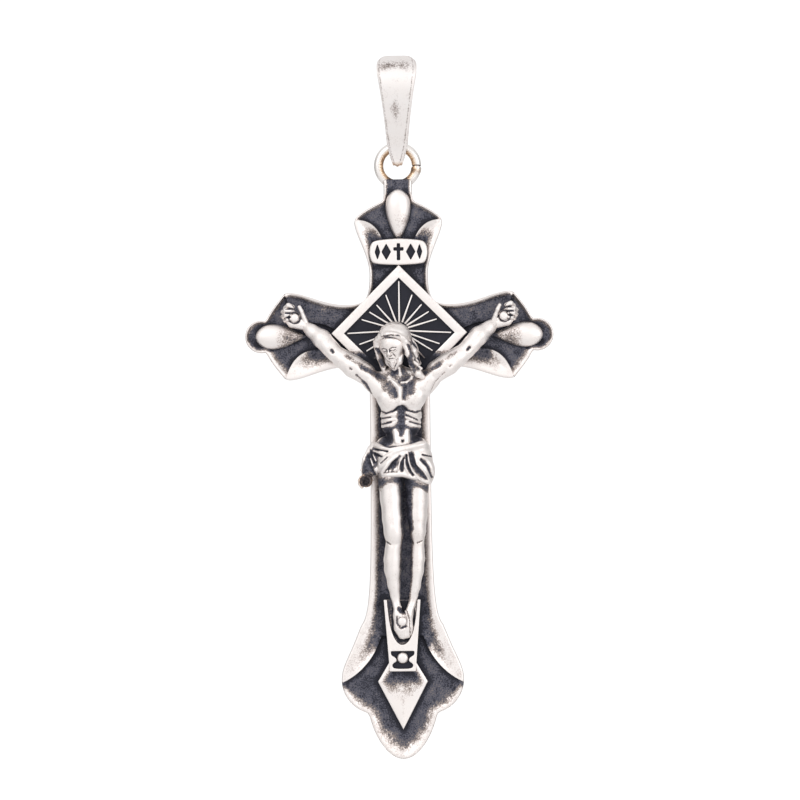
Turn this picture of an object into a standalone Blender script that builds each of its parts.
"""Silver crucifix pendant: a cast cross with a riveted figure, a jump ring and a bail.

The pendant is drawn as it hangs. X runs across the cross, +Z is up and the front faces -Y.
The origin is the point inside the top of the bail where a chain would carry it.
It is drawn in millimetres, under an empty that scales it to metres, so that fine cuts stay exact.
"""

from math import cos, pi, radians, sin, sqrt

import bmesh
import bpy
from mathutils import Matrix, Vector

GAP = 0.05  # between pieces that are soldered or riveted together

# Depths, along Y: the rim's plane, the sunk field's floor and the flat back
RIM_Y = -1.0
FIELD_Y = -0.5
SHIELD_Y = -0.35
BACK_Y = 1.0
EDGE_ROUND = 0.18

# Cross, along Z and X
NECK_TOP_Z = -11.72
NECK_HALF = 1.42
ARM_AXIS_Z = -27.35
LOBE_X = 13.8
LOBE_R = 1.62
SHAFT_HALF = 3.02
SHAFT_FIELD_HALF = 2.25
SHIELD_TOP_Z = -57.35

# Jump ring, and the crosswise hole that it runs through
RING_R = 1.9
WIRE_R = 0.475
RING_Z = -10.33
RING_TILT = radians(34)  # how far the hole lets the ring lean, a little past the joint's limit
HOLE_CLEARANCE = 0.04

# Bail
BAIL_WALL = 0.7
BAIL_HALF_DEPTH = 2.6  # of the hollow
BAIL_HALF_WIDTH = 2.0
BAIL_TIP_Z = -10.5
WIRE_SLACK = 0.22  # under the ring, inside the bail

# Ornaments
HALO_Z = -27.1
HALO_HALF = 6.8  # half of the square's diagonal
HALO_BAR = 0.88
HALO_FRONT_Y = -1.75
HALO_FLOOR_Y = -1.3
RAY_ANGLES = (0, 19, 38.5, 54.5, 70, 90, 105.5, 118.5, 135.5)  # degrees from straight up, each side
DROP_LENGTH = 5.0
DROP_HALF = 1.18
DROP_HEIGHT = 0.85
FOOT_NAIL_Z = -55.85
REST_RIVET_Z = -59.55
HAND_X = 10.45
HAND_Z = -25.5

SILVER = (0.86, 0.84, 0.82, 1)
SATIN = 0.32  # the tumbled silver's roughness


# ---------------------------------------------------------------- helpers


def clear_scene():
    for obj in list(bpy.data.objects):
        bpy.data.objects.remove(obj, do_unlink=True)


def collection(name):
    made = bpy.data.collections.new(name)
    bpy.context.scene.collection.children.link(made)
    return made


def silver(name):
    made = bpy.data.materials.new(name)
    made.use_nodes = True
    shader = made.node_tree.nodes["Principled BSDF"]
    shader.inputs["Base Color"].default_value = SILVER
    shader.inputs["Roughness"].default_value = SATIN
    shader.inputs["Metallic"].default_value = 1.0
    return made


def add(name, mesh):
    """A new part of the pendant, which holds this mesh."""
    obj = bpy.data.objects.new(name, mesh)
    PARTS.objects.link(obj)
    obj.parent = PENDANT
    obj.data.materials.clear()
    obj.data.materials.append(silver(name))
    mesh.shade_smooth()
    mesh.set_sharp_from_angle(angle=radians(35))
    return obj


def as_helper(obj):
    """Turns an object into a hidden cutter or filler."""
    for owner in list(obj.users_collection):
        owner.objects.unlink(obj)
    HELPERS.objects.link(obj)
    obj.hide_render = True
    obj.display_type = "WIRE"
    return obj


def boolean(obj, other, operation):
    modifier = obj.modifiers.new(operation.title(), "BOOLEAN")
    modifier.operation = operation
    modifier.object = as_helper(other)
    modifier.solver = "MANIFOLD"


def bevel(obj, width, segments=2, angle=50):
    modifier = obj.modifiers.new("Rounded edges", "BEVEL")
    modifier.width = width
    modifier.segments = segments
    modifier.limit_method = "ANGLE"
    modifier.angle_limit = radians(angle)
    modifier.use_clamp_overlap = True


def apply_modifiers(obj):
    """Replaces the object's mesh by its evaluated one."""
    graph = bpy.context.evaluated_depsgraph_get()
    mesh = bpy.data.meshes.new_from_object(obj.evaluated_get(graph), depsgraph=graph)
    obj.modifiers.clear()
    obj.data = mesh


def bezier(a, b, c, d, steps=6):
    """Points along a cubic curve, without its last one."""
    points = []
    for i in range(steps):
        t = i / steps
        s = 1 - t
        weights = (s * s * s, 3 * s * s * t, 3 * s * t * t, t * t * t)
        points.append(tuple(sum(w * p[k] for w, p in zip(weights, (a, b, c, d))) for k in (0, 1)))
    return points


def arc(centre, radius, start, end, steps):
    """Points along an arc, in degrees from +X."""
    turn = [radians(start + (end - start) * i / steps) for i in range(steps + 1)]
    return [(centre[0] + radius * cos(a), centre[1] + radius * sin(a)) for a in turn]


def both_sides(half):
    """A closed outline from its right half, which runs down from the top to the bottom."""
    left = [(-x, z) for x, z in reversed(half) if abs(x) > 1e-9]
    return half + left


def upside_down(points):
    return [(x, 2 * ARM_AXIS_Z - z) for x, z in reversed(points)]


def slab(name, outlines, front, back, matrix=None):
    """A flat piece from closed outlines in X and Z, given in millimetres, between two depths."""
    curve = bpy.data.curves.new(name, "CURVE")
    curve.dimensions = "2D"
    curve.fill_mode = "BOTH"
    curve.extrude = (back - front) / 2
    for outline in outlines:
        spline = curve.splines.new("POLY")
        spline.points.add(len(outline) - 1)
        for point, (x, z) in zip(spline.points, outline):
            point.co = (x, z, 0, 1)
        spline.use_cyclic_u = True
    drawn = bpy.data.objects.new(name + "_outline", curve)
    bpy.context.scene.collection.objects.link(drawn)
    drawn.matrix_world = (matrix or Matrix()) @ Matrix.Translation((0, (front + back) / 2, 0)) @ Matrix.Rotation(
        pi / 2, 4, "X"
    )
    bpy.context.view_layer.update()
    graph = bpy.context.evaluated_depsgraph_get()
    mesh = bpy.data.meshes.new_from_object(drawn.evaluated_get(graph), depsgraph=graph)
    mesh.transform(drawn.matrix_world)
    bpy.data.objects.remove(drawn)
    shape = bmesh.new()
    shape.from_mesh(mesh)
    bmesh.ops.remove_doubles(shape, verts=shape.verts, dist=1e-5)
    bmesh.ops.recalc_face_normals(shape, faces=shape.faces)
    shape.to_mesh(mesh)
    shape.free()
    return add(name, mesh)


def from_bmesh(name, shape):
    mesh = bpy.data.meshes.new(name)
    shape.to_mesh(mesh)
    shape.free()
    return add(name, mesh)


def rod(name, radius, x, z, front, back, segments=20):
    """A round bar along Y."""
    shape = bmesh.new()
    place = Matrix.Translation((x, (front + back) / 2, z)) @ Matrix.Rotation(pi / 2, 4, "X")
    bmesh.ops.create_cone(
        shape,
        cap_ends=True,
        segments=segments,
        radius1=radius,
        radius2=radius,
        depth=back - front,
        matrix=place,
    )
    return from_bmesh(name, shape)


# ---------------------------------------------------------------- cross body


def arm_upper_edge():
    """The right arm's outline above its axis, from the inner corner to the lobe."""
    axis = ARM_AXIS_Z
    points = bezier((5.1, axis + 3.1), (7.6, axis + 3.1), (9.2, axis + 4.25), (10.9, axis + 4.38), 7)
    points += bezier((10.9, axis + 4.38), (11.25, axis + 4.42), (11.45, axis + 4.3), (11.6, axis + 4.1), 3)
    points += bezier((11.6, axis + 4.1), (12.25, axis + 3.3), (12.85, axis + 2.6), (13.35, axis + 1.56), 4)
    return points


def cross_outline():
    axis = ARM_AXIS_Z
    neck_top, neck = NECK_TOP_Z, NECK_HALF
    half = [(0, neck_top), (neck - 0.2, neck_top), (neck - 0.02, neck_top - 0.2), (neck, neck_top - 1.5)]
    half += bezier((neck, -13.4), (neck + 0.03, -13.8), (1.6, -13.92), (1.75, -14.0), 3)
    half += bezier((1.75, -14.0), (2.6, -14.42), (3.7, -14.95), (4.3, -15.65), 5)
    half += bezier((4.3, -15.65), (4.42, -15.95), (4.42, -16.2), (4.3, -16.6), 3)
    half += bezier((4.3, -16.6), (3.95, -17.9), (2.9, -19.6), (2.92, -21.3), 7)
    half += bezier((2.92, -21.3), (2.93, -22.5), (3.05, -23.2), (3.35, -23.65), 4)
    half += bezier((3.35, -23.65), (3.6, -24.05), (4.2, -24.25), (5.1, -24.25), 4)
    upper = arm_upper_edge()
    half += upper
    half += arc((LOBE_X, axis), LOBE_R, 103, -103, 13)
    half += upside_down(upper)[:-1]
    half += bezier((5.1, axis - 3.1), (4.0, -30.45), (3.1, -31.2), (3.05, -32.8), 5)
    shaft = SHAFT_HALF
    half += [(shaft, -33.0)]
    half += bezier((shaft, -50.5), (3.05, -55.0), (4.1, -56.3), (5.15, -58.8), 8)
    half += bezier((5.15, -58.8), (5.75, -60.1), (6.12, -60.8), (6.12, -61.7), 4)
    half += bezier((6.12, -61.7), (6.12, -63.2), (5.2, -64.5), (3.75, -65.0), 7)
    half += bezier((3.75, -65.0), (3.45, -65.1), (3.35, -65.4), (3.25, -65.8), 3)
    half += bezier((3.25, -65.8), (2.75, -67.6), (1.5, -69.7), (0, -69.7), 8)
    half += [(0, -69.7)]
    return both_sides(half)


def top_field():
    """The sunk field of the top arm, between its shoulders and its two petals."""
    half = [(0, -12.02), (1.02, -12.02), (1.12, -13.75)]
    half += bezier((1.3, -14.15), (2.4, -14.65), (3.5, -15.15), (4.12, -15.85), 5)
    half += bezier((4.12, -15.85), (2.9, -15.75), (2.1, -16.6), (1.72, -17.6), 6)
    half += [(1.72, -17.6), (3.05, -17.62)]
    half += bezier((3.05, -17.62), (2.85, -19.0), (2.55, -20.0), (2.55, -21.3), 4)
    half += [(2.55, -21.3), (2.55, -24.0), (0, -24.0)]
    return both_sides(half)


def arm_field():
    """The sunk field that runs along both arms, between the petals and round the drops."""
    axis = ARM_AXIS_Z
    lower = bezier((11.35, axis - 4.15), (11.2, axis - 2.6), (10.1, axis - 1.3), (7.2, axis - 1.5), 7)
    lower += [(7.2, axis - 1.5), (0, axis - 1.6)]
    outer = bezier((13.1, axis - 1.5), (12.7, axis - 2.4), (12.1, axis - 3.2), (11.35, axis - 4.15), 4)
    half = upside_down(lower) + upside_down(outer)[1:]
    half += arc((LOBE_X, axis), LOBE_R - 0.35, 109, -109, 11)
    half += outer + lower
    return both_sides(half)


def shaft_field():
    half_width = SHAFT_FIELD_HALF
    return [(half_width, -26.0), (half_width, -57.3), (-half_width, -57.3), (-half_width, -26.0)]


def shield_field():
    """The deeper field at the foot of the cross, under the two large petals."""
    half = [(0, SHIELD_TOP_Z), (2.12, SHIELD_TOP_Z)]
    half += bezier((2.12, -57.4), (2.6, -59.1), (4.0, -61.1), (5.85, -61.95), 7)
    half += bezier((5.85, -61.95), (5.65, -63.1), (4.9, -64.15), (3.5, -64.6), 5)
    half += bezier((3.5, -64.6), (3.0, -64.9), (2.95, -65.3), (2.85, -65.7), 3)
    half += bezier((2.85, -65.7), (2.35, -67.4), (1.3, -69.25), (0, -69.25), 5)
    half += [(0, -69.25)]
    return both_sides(half)


def scoop(name, x, z, length, width, turn):
    """A shallow spoon-shaped cutter that hollows one petal."""
    shape = bmesh.new()
    place = Matrix.Translation((x, RIM_Y, z)) @ Matrix.Rotation(radians(turn), 4, "Y")
    stretch = Matrix.Diagonal((length / 2, 0.3, width / 2, 1))
    bmesh.ops.create_uvsphere(shape, u_segments=12, v_segments=8, radius=1, matrix=place @ stretch)
    return from_bmesh(name, shape)


def ring_hole():
    """The crosswise hole: the room that the ring's lowest arc sweeps as it leans."""
    shape = bmesh.new()
    rings = []
    centre_z = RING_Z - RING_R
    for i in range(13):
        x = (i / 6 - 1) * (NECK_HALF + 0.1)
        rise = RING_R - sqrt(RING_R * RING_R - x * x)
        slope = RING_R / sqrt(RING_R * RING_R - x * x)
        section = []
        for j in range(16):
            angle = (j + 0.5) * 2 * pi / 16 - pi
            lean = max(-RING_TILT, min(RING_TILT, angle))
            reach = (WIRE_R + HOLE_CLEARANCE) * (1 + (slope - 1) * abs(cos(angle)))
            y = rise * sin(lean) + reach * sin(angle)
            z = centre_z + rise * cos(lean) + reach * cos(angle)
            section.append(shape.verts.new((x, y, z)))
        rings.append(section)
    for one, two in zip(rings, rings[1:]):
        for j in range(16):
            k = (j + 1) % 16
            shape.faces.new((one[j], two[j], two[k], one[k]))
    shape.faces.new(rings[0])
    shape.faces.new(rings[-1][::-1])
    bmesh.ops.recalc_face_normals(shape, faces=shape.faces)
    return from_bmesh("ring_hole", shape)


def cross_body():
    body = slab("cross_body", [cross_outline()], RIM_Y, BACK_Y)
    bevel(body, EDGE_ROUND, 1)
    over = 0.5
    for name, outline, floor in (
        ("top_field", top_field(), FIELD_Y),
        ("arm_field", arm_field(), FIELD_Y),
        ("shaft_field", shaft_field(), FIELD_Y),
        ("shield_field", shield_field(), SHIELD_Y),
    ):
        boolean(body, slab(name, [outline], RIM_Y - over, floor), "DIFFERENCE")
    axis = ARM_AXIS_Z
    for side in (-1, 1):
        boolean(body, scoop("petal_top", side * 2.95, -17.1, 2.6, 1.1, side * 62), "DIFFERENCE")
        boolean(body, scoop("petal_foot", side * 4.1, -59.4, 5.6, 1.5, side * 55), "DIFFERENCE")
        for end in (-1, 1):
            turn = side * end * -12
            boolean(body, scoop("petal_arm", side * 8.7, axis + end * 2.75, 4.6, 1.3, turn), "DIFFERENCE")
        boolean(body, rod("hand_bore", NAIL_SHANK_R + GAP, side * HAND_X, HAND_Z, -3, 3), "DIFFERENCE")
    for z in (FOOT_NAIL_Z, REST_RIVET_Z):
        boolean(body, rod("foot_bore", NAIL_SHANK_R + GAP, 0, z, -3, 3), "DIFFERENCE")
    boolean(body, ring_hole(), "DIFFERENCE")
    return body


# ---------------------------------------------------------------- ornaments


def drop(name, x, z, turn):
    """A domed teardrop: its round end lies at x, z and its point runs along the turned direction."""
    shape = bmesh.new()
    around, along = 12, 12
    rows = []
    for i in range(1, along):
        t = i / along
        half = DROP_HALF * sin(pi * t**0.62) ** 0.9
        height = DROP_HEIGHT * (half / DROP_HALF) ** 0.8
        row = []
        for j in range(around + 1):
            a = pi * j / around
            row.append(shape.verts.new((half * cos(a), -height * sin(a), -DROP_LENGTH * t)))
        rows.append(row)
    tip, end = shape.verts.new((0, 0, 0)), shape.verts.new((0, 0, -DROP_LENGTH))
    for one, two in zip(rows, rows[1:]):
        for j in range(around):
            shape.faces.new((one[j], one[j + 1], two[j + 1], two[j]))
        shape.faces.new((one[0], two[0], two[-1], one[-1]))
    for j in range(around):
        shape.faces.new((tip, rows[0][j + 1], rows[0][j]))
        shape.faces.new((end, rows[-1][j], rows[-1][j + 1]))
    shape.faces.new((tip, rows[0][0], rows[0][-1]))
    shape.faces.new((end, rows[-1][-1], rows[-1][0]))
    bmesh.ops.recalc_face_normals(shape, faces=shape.faces)
    place = Matrix.Translation((x, FIELD_Y - GAP, z)) @ Matrix.Rotation(radians(turn), 4, "Y")
    bmesh.ops.transform(shape, matrix=place, verts=shape.verts)
    return from_bmesh(name, shape)


def square(half):
    """A square standing on one corner, round the middle of the halo."""
    z = HALO_Z
    return [(0, z + half), (half, z), (0, z - half), (-half, z)]


def halo():
    """A square tray on its corner, with a raised frame and cut rays."""
    outer = HALO_HALF
    inner = outer - HALO_BAR * sqrt(2)
    body = slab("halo", [square(outer)], HALO_FRONT_Y, RIM_Y - GAP)
    bevel(body, 0.12, 1)
    boolean(body, slab("halo_tray", [square(inner)], HALO_FRONT_Y - 1, HALO_FLOOR_Y), "DIFFERENCE")
    for angle in RAY_ANGLES:
        for side in (-1, 1) if angle else (1,):
            lean = radians(angle) * side
            reach = (inner - 0.12) / (abs(sin(lean)) + abs(cos(lean)))
            ray = slab(
                "ray",
                [[(-0.08, 1.0), (0.08, 1.0), (0.08, reach), (-0.08, reach)]],
                HALO_FLOOR_Y - 0.14,
                HALO_FLOOR_Y + 0.05,
                matrix=Matrix.Translation((0, 0, HALO_Z)) @ Matrix.Rotation(lean, 4, "Y"),
            )
            boolean(body, ray, "UNION")
    boolean(body, slab("ray_hub", [arc((0, HALO_Z), 1.2, 0, 345, 23)], HALO_FLOOR_Y - 0.14,
                       HALO_FLOOR_Y + 0.05), "UNION")
    return body


def titulus():
    """The barrel-shaped name board, which carries an engraved row of plain ornaments."""
    half = bezier((0, -17.66), (1.2, -17.68), (2.3, -17.78), (2.55, -18.0), 5)
    half += bezier((2.55, -18.0), (2.98, -18.4), (2.98, -19.6), (2.55, -20.05), 6)
    half += bezier((2.55, -20.05), (2.3, -20.26), (1.2, -20.32), (0, -20.34), 5)
    half += [(0, -20.34)]
    board = slab("titulus", [both_sides(half)], -1.6, RIM_Y - GAP)
    bevel(board, 0.12, 1)
    middle = -19.0
    engraved_y = -1.4
    for x in (-1.95, -0.95, 0.95, 1.95):
        lozenge = [(x, middle + 0.62), (x + 0.3, middle), (x, middle - 0.62), (x - 0.3, middle)]
        boolean(board, slab("lozenge", [lozenge], -2.0, engraved_y), "DIFFERENCE")
    small_cross = [(0, middle + 0.75), (0.13, middle + 0.75), (0.13, middle + 0.35), (0.4, middle + 0.35)]
    small_cross += [(0.4, middle + 0.1), (0.13, middle + 0.1), (0.13, middle - 0.75), (0, middle - 0.75)]
    boolean(board, slab("small_cross", [both_sides(small_cross)], -2.0, engraved_y), "DIFFERENCE")
    return board


def kite():
    """The lower diamond, which runs up under the footrest."""
    outline = [(0, -57.75), (2.48, -61.95), (0, -66.75), (-2.48, -61.95)]
    boss = slab("kite_boss", [outline], -1.05, SHIELD_Y - GAP)
    bevel(boss, 0.08, 1)
    boolean(boss, rod("kite_bore", NAIL_SHANK_R + GAP, 0, REST_RIVET_Z, -3, 3), "DIFFERENCE")
    return boss


REST_BACK_Y = -1.1
REST_FRONT_Y = -2.1
REST_POCKET_Y = -1.55


def footrest():
    """The tapered block under the feet, with a pocket for the foot and a sunk panel below it."""
    outline = [(-1.84, -53.7), (1.84, -53.7), (1.3, -60.9), (-1.3, -60.9)]
    block = slab("footrest", [outline], REST_FRONT_Y, REST_BACK_Y)
    bevel(block, 0.07, 1)
    pocket = [(1.5, -53.0), (1.5, -53.9)] + bezier((1.2, -56.6), (1.15, -57.8), (0.6, -58.2), (0, -58.25), 5)
    pocket += [(0, -58.25)]
    boolean(block, slab("pocket", [both_sides(pocket)], -4, REST_POCKET_Y), "DIFFERENCE")
    panel = [(0, -58.75), (1.2, -58.75), (1.12, -59.3), (0.85, -59.6), (0.98, -59.95), (1.08, -60.3), (0.9, -60.6)]
    panel += [(0, -60.6)]
    boolean(block, slab("panel", [both_sides(panel)], -4, -1.8), "DIFFERENCE")
    for z in (FOOT_NAIL_Z, REST_RIVET_Z):
        boolean(block, rod("rest_bore", NAIL_SHANK_R + GAP, 0, z, -5, 3), "DIFFERENCE")
    return block


# ---------------------------------------------------------------- rivets

NAIL_SHANK_R = 0.22


def rivet(name, x, z, seat, head_r, head_height):
    """A round-headed pin: its head sits at the depth seat, and its shank ends flush with the flat back."""
    shape = bmesh.new()
    profile = [(NAIL_SHANK_R, BACK_Y), (NAIL_SHANK_R, seat), (head_r, seat)]
    for i in range(1, 4):
        a = radians(90 * i / 4)
        profile.append((head_r * cos(a), seat - head_height * sin(a)))
    rows = []
    turns = 16
    for radius, y in profile:
        circle = [2 * pi * j / turns for j in range(turns)]
        rows.append([shape.verts.new((x + radius * cos(a), y, z + radius * sin(a))) for a in circle])
    for one, two in zip(rows, rows[1:]):
        for j in range(turns):
            k = (j + 1) % turns
            shape.faces.new((one[j], one[k], two[k], two[j]))
    top = shape.verts.new((x, seat - head_height, z))
    for j in range(turns):
        shape.faces.new((top, rows[-1][j], rows[-1][(j + 1) % turns]))
    shape.faces.new(rows[0])
    bmesh.ops.recalc_face_normals(shape, faces=shape.faces)
    return from_bmesh(name, shape)


# ---------------------------------------------------------------- figure

# Limbs as round tapers: name, then places (x, y, z) with a radius, in millimetres
FIGURE = (
    ("belly", (0, -2.3, -37.4, 1.75), (0, -2.55, -35.0, 1.75)),
    ("chest", (-0.95, -2.95, -33.6, 1.6), (0.95, -2.95, -33.6, 1.6)),
    ("shoulders", (-1.9, -2.95, -32.6, 1.25), (1.9, -2.95, -32.6, 1.25)),
    ("neck", (0, -3.1, -32.0, 0.85), (-0.4, -3.7, -30.2, 0.85)),
    ("left upper arm", (-2.4, -2.95, -32.4, 1.05), (-6.6, -2.85, -28.95, 0.95)),
    ("right upper arm", (2.4, -2.95, -32.4, 1.05), (6.6, -2.85, -28.95, 0.95)),
    ("left forearm", (-6.6, -2.85, -28.95, 0.95), (-9.3, -1.5, -26.4, 0.6)),
    ("right forearm", (6.6, -2.85, -28.95, 0.95), (9.3, -1.5, -26.4, 0.6)),
    ("left palm", (-9.5, -1.4, -26.2, 0.6), (-10.75, -1.25, -25.1, 0.65)),
    ("right palm", (9.5, -1.4, -26.2, 0.6), (10.75, -1.25, -25.1, 0.65)),
    ("skull", (-0.5, -4.2, -27.9, 1.75), (-0.6, -4.25, -28.6, 1.65)),
    ("jaw", (-0.65, -4.5, -29.2, 1.2), (-0.7, -4.6, -29.7, 0.95)),
    ("hair", (0.7, -3.7, -28.6, 1.2), (1.6, -3.3, -30.9, 0.8)),
    ("loincloth", (-1.3, -2.3, -39.4, 1.65), (1.4, -2.3, -39.4, 1.65)),
    ("loincloth skirt", (-1.2, -2.3, -40.9, 1.45), (1.75, -2.3, -41.0, 1.55)),
    ("knot", (-3.0, -2.0, -38.9, 0.6), (-3.5, -2.0, -41.6, 0.8)),
    ("left thigh", (-1.0, -2.4, -40.5, 1.15), (-0.65, -2.75, -47.4, 0.97)),
    ("right thigh", (1.75, -2.4, -40.8, 1.1), (1.65, -2.55, -47.2, 0.75)),
    ("left shin", (-0.65, -2.75, -47.4, 0.9), (-0.86, -2.15, -50.0, 0.84)),
    ("left ankle", (-0.86, -2.15, -50.0, 0.84), (-0.5, -2.35, -54.6, 0.45)),
    ("right shin", (1.65, -2.55, -47.2, 0.7), (1.6, -2.05, -50.0, 0.65)),
    ("right ankle", (1.6, -2.05, -50.0, 0.65), (0.85, -2.3, -54.6, 0.4)),
    ("feet", (-0.35, -2.35, -54.9, 0.55), (0.05, -2.25, -56.9, 0.62)),
)
FIGURE_VOXEL = 0.58


def add_taper(shape, start, end):
    """A round taper with ball ends, as closed shells that overlap."""
    one, two = Vector(start[:3]), Vector(end[:3])
    for centre, radius in ((one, start[3]), (two, end[3])):
        place = Matrix.Translation(centre)
        bmesh.ops.create_uvsphere(shape, u_segments=16, v_segments=10, radius=radius, matrix=place)
    along = two - one
    turn = along.to_track_quat("Z", "Y").to_matrix().to_4x4()
    bmesh.ops.create_cone(
        shape,
        cap_ends=True,
        segments=16,
        radius1=start[3],
        radius2=end[3],
        depth=along.length,
        matrix=Matrix.Translation((one + two) / 2) @ turn,
    )


def corpus():
    """The cast figure, as one body: its limbs are melted together by a remesh."""
    shape = bmesh.new()
    for _, start, end in FIGURE:
        add_taper(shape, start, end)
    figure = from_bmesh("corpus", shape)
    melt = figure.modifiers.new("Melted limbs", "REMESH")
    melt.mode = "VOXEL"
    melt.voxel_size = FIGURE_VOXEL
    smooth = figure.modifiers.new("Softened", "SMOOTH")
    smooth.factor = 0.5
    smooth.iterations = 2
    apply_modifiers(figure)
    boolean(figure, slab("halo_room", [square(HALO_HALF + 0.1)], HALO_FRONT_Y - GAP, 3), "DIFFERENCE")
    cross_room = [(-16, -20), (16, -20), (16, -60), (-16, -60)]
    boolean(figure, slab("cross_room", [cross_room], RIM_Y - GAP, 3), "DIFFERENCE")
    foot_room = [(-1.9, -53.6), (1.9, -53.6), (1.9, -61), (-1.9, -61)]
    boolean(figure, slab("rest_room", [foot_room], REST_POCKET_Y - GAP, 3), "DIFFERENCE")
    return figure


def bore_figure(figure):
    for side in (-1, 1):
        bore = rod("palm_bore", NAIL_SHANK_R + GAP, side * HAND_X, HAND_Z, -5, 3)
        boolean(figure, bore, "DIFFERENCE")
    boolean(figure, rod("instep_bore", NAIL_SHANK_R + GAP, 0, FOOT_NAIL_Z, -5, 3), "DIFFERENCE")


# ---------------------------------------------------------------- ring and bail


def jump_ring():
    shape = bmesh.new()
    around, section = 40, 12
    rows = []
    for i in range(around):
        a = 2 * pi * i / around
        row = []
        for j in range(section):
            b = 2 * pi * j / section
            reach = RING_R + WIRE_R * cos(b)
            row.append(shape.verts.new((reach * cos(a), WIRE_R * sin(b), RING_Z + reach * sin(a))))
        rows.append(row)
    for i in range(around):
        one, two = rows[i], rows[(i + 1) % around]
        for j in range(section):
            k = (j + 1) % section
            shape.faces.new((one[j], one[k], two[k], two[j]))
    bmesh.ops.recalc_face_normals(shape, faces=shape.faces)
    return from_bmesh("jump_ring", shape)


def egg(half_depth, top, bottom, end_half):
    """The bail seen from the side: a round top that draws in to a narrow foot. Points run down one side."""
    side = bezier((0, top), (half_depth * 0.62, top), (half_depth, top - 1.05), (half_depth, top - 2.7), 6)
    side += bezier((half_depth, top - 2.7), (half_depth, top - 4.9), (end_half + 0.35, bottom + 2.4),
                   (end_half, bottom + end_half), 7)
    side += bezier((end_half, bottom + end_half), (end_half, bottom + 0.35), (end_half * 0.55, bottom),
                   (0, bottom), 4)
    side += [(0, bottom)]
    return both_sides(side)


def bail():
    """A tapered strip folded over the chain, whose two ends meet in a solid tail inside the ring."""
    foot = (RING_Z + RING_R - WIRE_R - WIRE_SLACK)
    hollow = egg(BAIL_HALF_DEPTH, 0, foot, 0.82)
    wall = BAIL_WALL
    outer = egg(BAIL_HALF_DEPTH + wall, wall, BAIL_TIP_Z, 0.55)
    half_width = BAIL_HALF_WIDTH
    strip = slab("bail", [outer, hollow], -half_width, half_width, matrix=Matrix.Rotation(pi / 2, 4, "Z"))
    taper = [(0, 2.0), (1.75, 2.0), (1.98, 0.2), (1.98, -0.2)]
    taper += [(0.98, -8.2), (0.5, -9.9)] + bezier((0.46, -10.1), (0.42, -10.4), (0.25, -10.49), (0, -10.49), 3)
    taper += [(0, -10.49)]
    front = slab("bail_front", [both_sides(taper)], -5, 5)
    boolean(strip, front, "INTERSECT")
    return strip


# ---------------------------------------------------------------- the pendant

clear_scene()
PARTS = collection("Crucifix pendant")
HELPERS = collection("Cutters")
PENDANT = bpy.data.objects.new("Pendant", None)
PENDANT.empty_display_size = 5
PENDANT.scale = (0.001, 0.001, 0.001)
PARTS.objects.link(PENDANT)

cross_body()
drop("drop_top", 0, -12.68, 0)
drop("drop_left", -14.4, ARM_AXIS_Z, -90)
drop("drop_right", 14.4, ARM_AXIS_Z, 90)
halo()
titulus()
kite()
footrest()
bore_figure(corpus())
rivet("nail_left_hand", -HAND_X, HAND_Z, -1.95, 0.45, 0.3)
rivet("nail_right_hand", HAND_X, HAND_Z, -1.95, 0.45, 0.3)
rivet("nail_feet", 0, FOOT_NAIL_Z, -3.0, 0.47, 0.3)
rivet("rivet_footrest", 0, REST_RIVET_Z, -1.85, 0.58, 0.4)
jump_ring()
bail()
